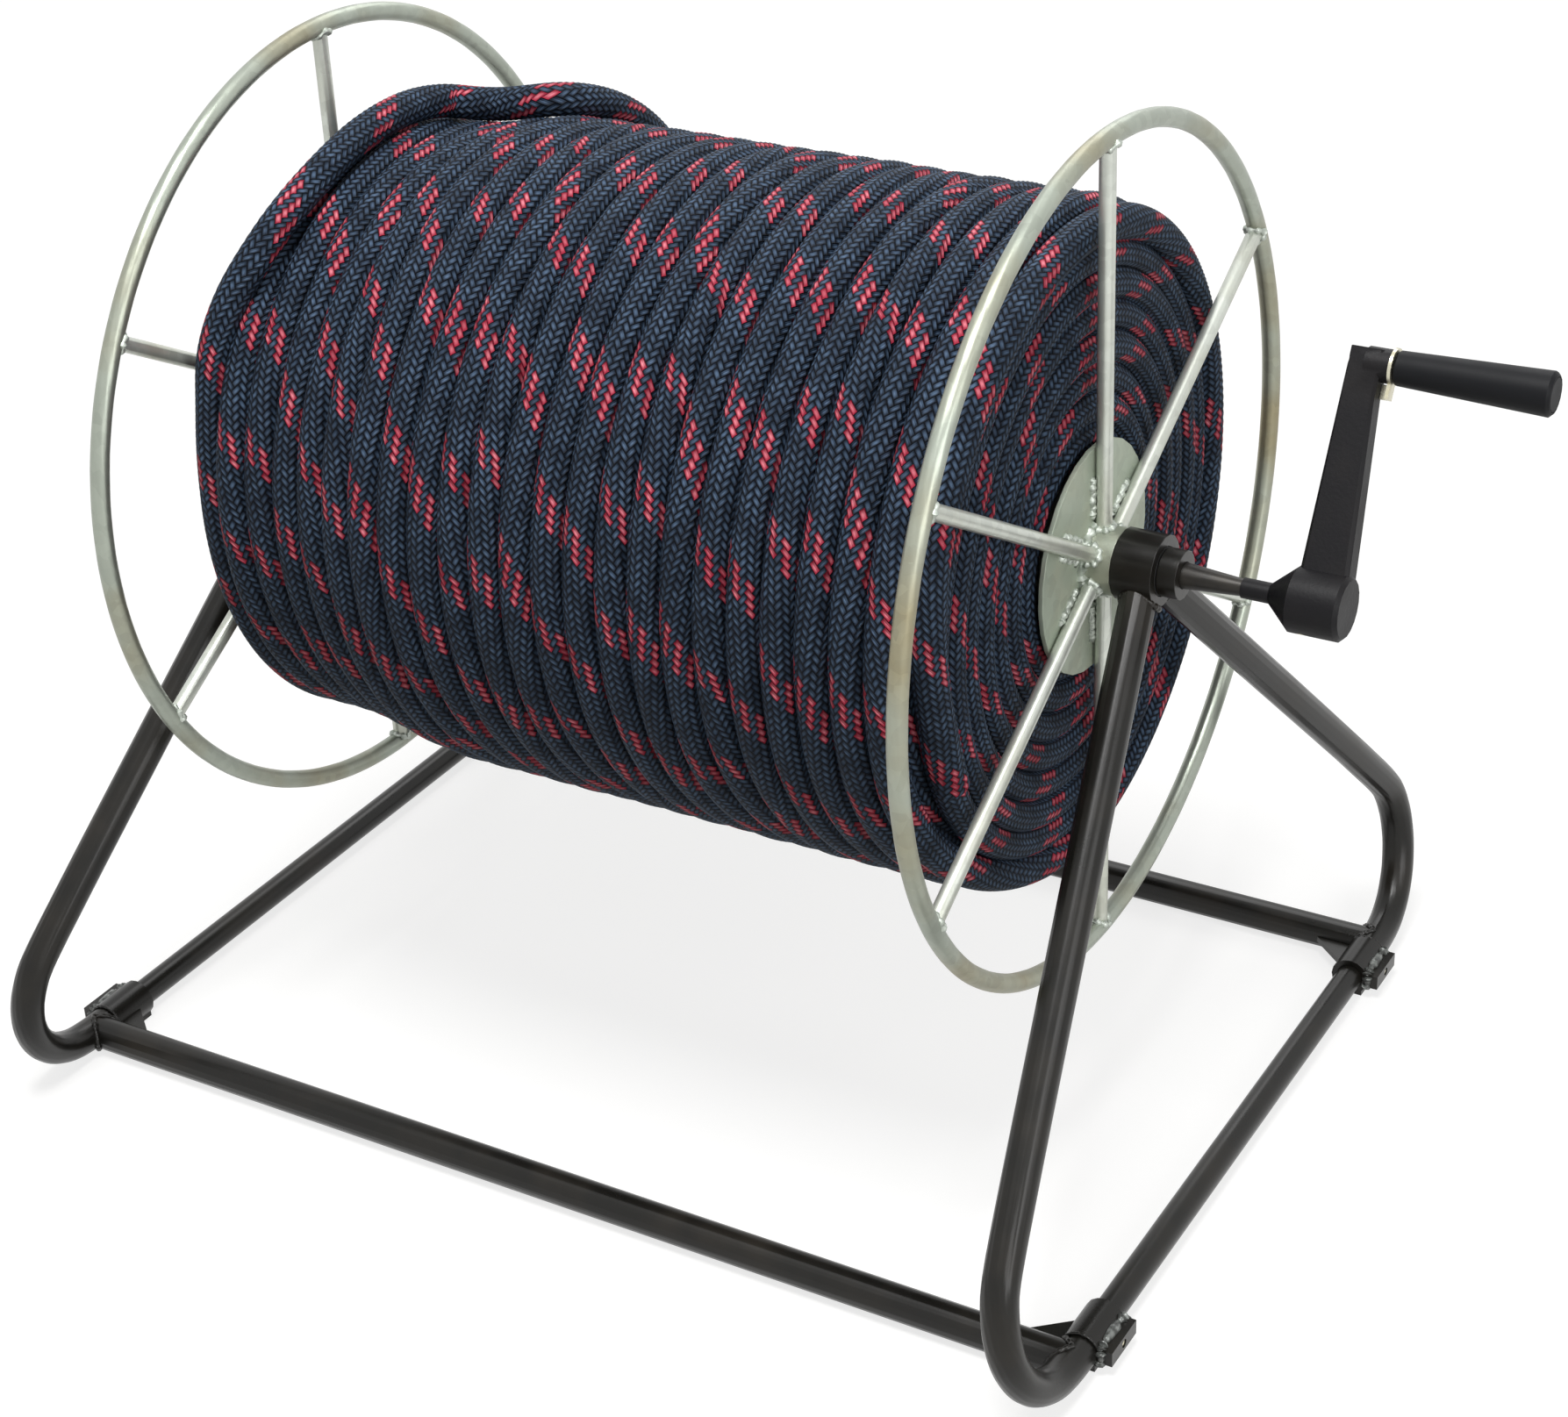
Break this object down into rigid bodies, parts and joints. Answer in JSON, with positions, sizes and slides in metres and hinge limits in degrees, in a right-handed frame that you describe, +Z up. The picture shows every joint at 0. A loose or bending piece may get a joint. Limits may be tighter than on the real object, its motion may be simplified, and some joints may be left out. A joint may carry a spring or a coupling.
{
  "type": "rope winder",
  "caption": "Tube stand with a spoked reel of rope on a cross axle, turned in two bearings by a crank with a turning grip.",
  "frame": {"origin": "on the floor, under the middle of the whole winder with its crank", "axes": "+X along the reel's axle towards the crank, +Y to the back of the stand, +Z up"},
  "size_m": [0.9062, 0.6462, 0.669],
  "materials": {
    "stand_paint": "satin black paint on steel tube",
    "bush_nylon": "natural nylon, turned",
    "flange_steel": "dull zinc coating on steel bar and sheet",
    "bar_steel": "bright drawn steel bar",
    "zinc_plate": "zinc-plated steel",
    "crank_black": "black stoved casting",
    "grip_plastic": "black moulded plastic",
    "rope": "braided rope, dark navy with red flecks"
  },
  "bodies": {
    "stand": {"cross_rail_front": "stand_paint", "cross_rail_back": "stand_paint", "side_rail_left": "stand_paint", "bearing_housing_left": "stand_paint", "bearing_bush_left": "bush_nylon", "leg_front_left": "stand_paint", "corner_socket_front_left": "stand_paint", "clamp_screw_front_left": "zinc_plate", "leg_back_left": "stand_paint", "corner_socket_back_left": "stand_paint", "clamp_screw_back_left": "zinc_plate", "side_rail_right": "stand_paint", "bearing_housing_right": "stand_paint", "bearing_bush_right": "bush_nylon", "leg_front_right": "stand_paint", "corner_socket_front_right": "stand_paint", "clamp_screw_front_right": "zinc_plate", "leg_back_right": "stand_paint", "corner_socket_back_right": "stand_paint", "clamp_screw_back_right": "zinc_plate"},
    "reel": {"axle": "bar_steel", "drum_tube": "flange_steel", "rope_core": "rope", "rope_winding": "rope", "crank_arm": "crank_black", "crank_screw": "zinc_plate", "grip_pin": "bar_steel", "grip_nut": "crank_black", "tab_washer": "zinc_plate", "hub_sleeve_left": "flange_steel", "hub_pin_left": "bar_steel", "hub_disc_left": "flange_steel", "rim_left": "flange_steel", "shaft_collar_left": "stand_paint", "collar_screw_left": "zinc_plate", "spoke_left_1": "flange_steel", "spoke_left_2": "flange_steel", "spoke_left_3": "flange_steel", "spoke_left_4": "flange_steel", "spoke_left_5": "flange_steel", "spoke_left_6": "flange_steel", "hub_sleeve_right": "flange_steel", "hub_pin_right": "bar_steel", "hub_disc_right": "flange_steel", "rim_right": "flange_steel", "shaft_collar_right": "stand_paint", "collar_screw_right": "zinc_plate", "spoke_right_1": "flange_steel", "spoke_right_2": "flange_steel", "spoke_right_3": "flange_steel", "spoke_right_4": "flange_steel", "spoke_right_5": "flange_steel", "spoke_right_6": "flange_steel"},
    "grip": {"grip": "grip_plastic", "grip_cap": "grip_plastic"}
  },
  "joints": [
    {"name": "reel_spin", "type": "hinge", "parent": "stand", "child": "reel", "pos_m": [0, 0, 0.403], "axis": [1, 0, 0], "continuous": true},
    {"name": "grip_spin", "type": "hinge", "parent": "reel", "child": "grip", "pos_m": [0.4, 0.07, 0.52424], "axis": [1, 0, 0], "continuous": true}
  ]
}
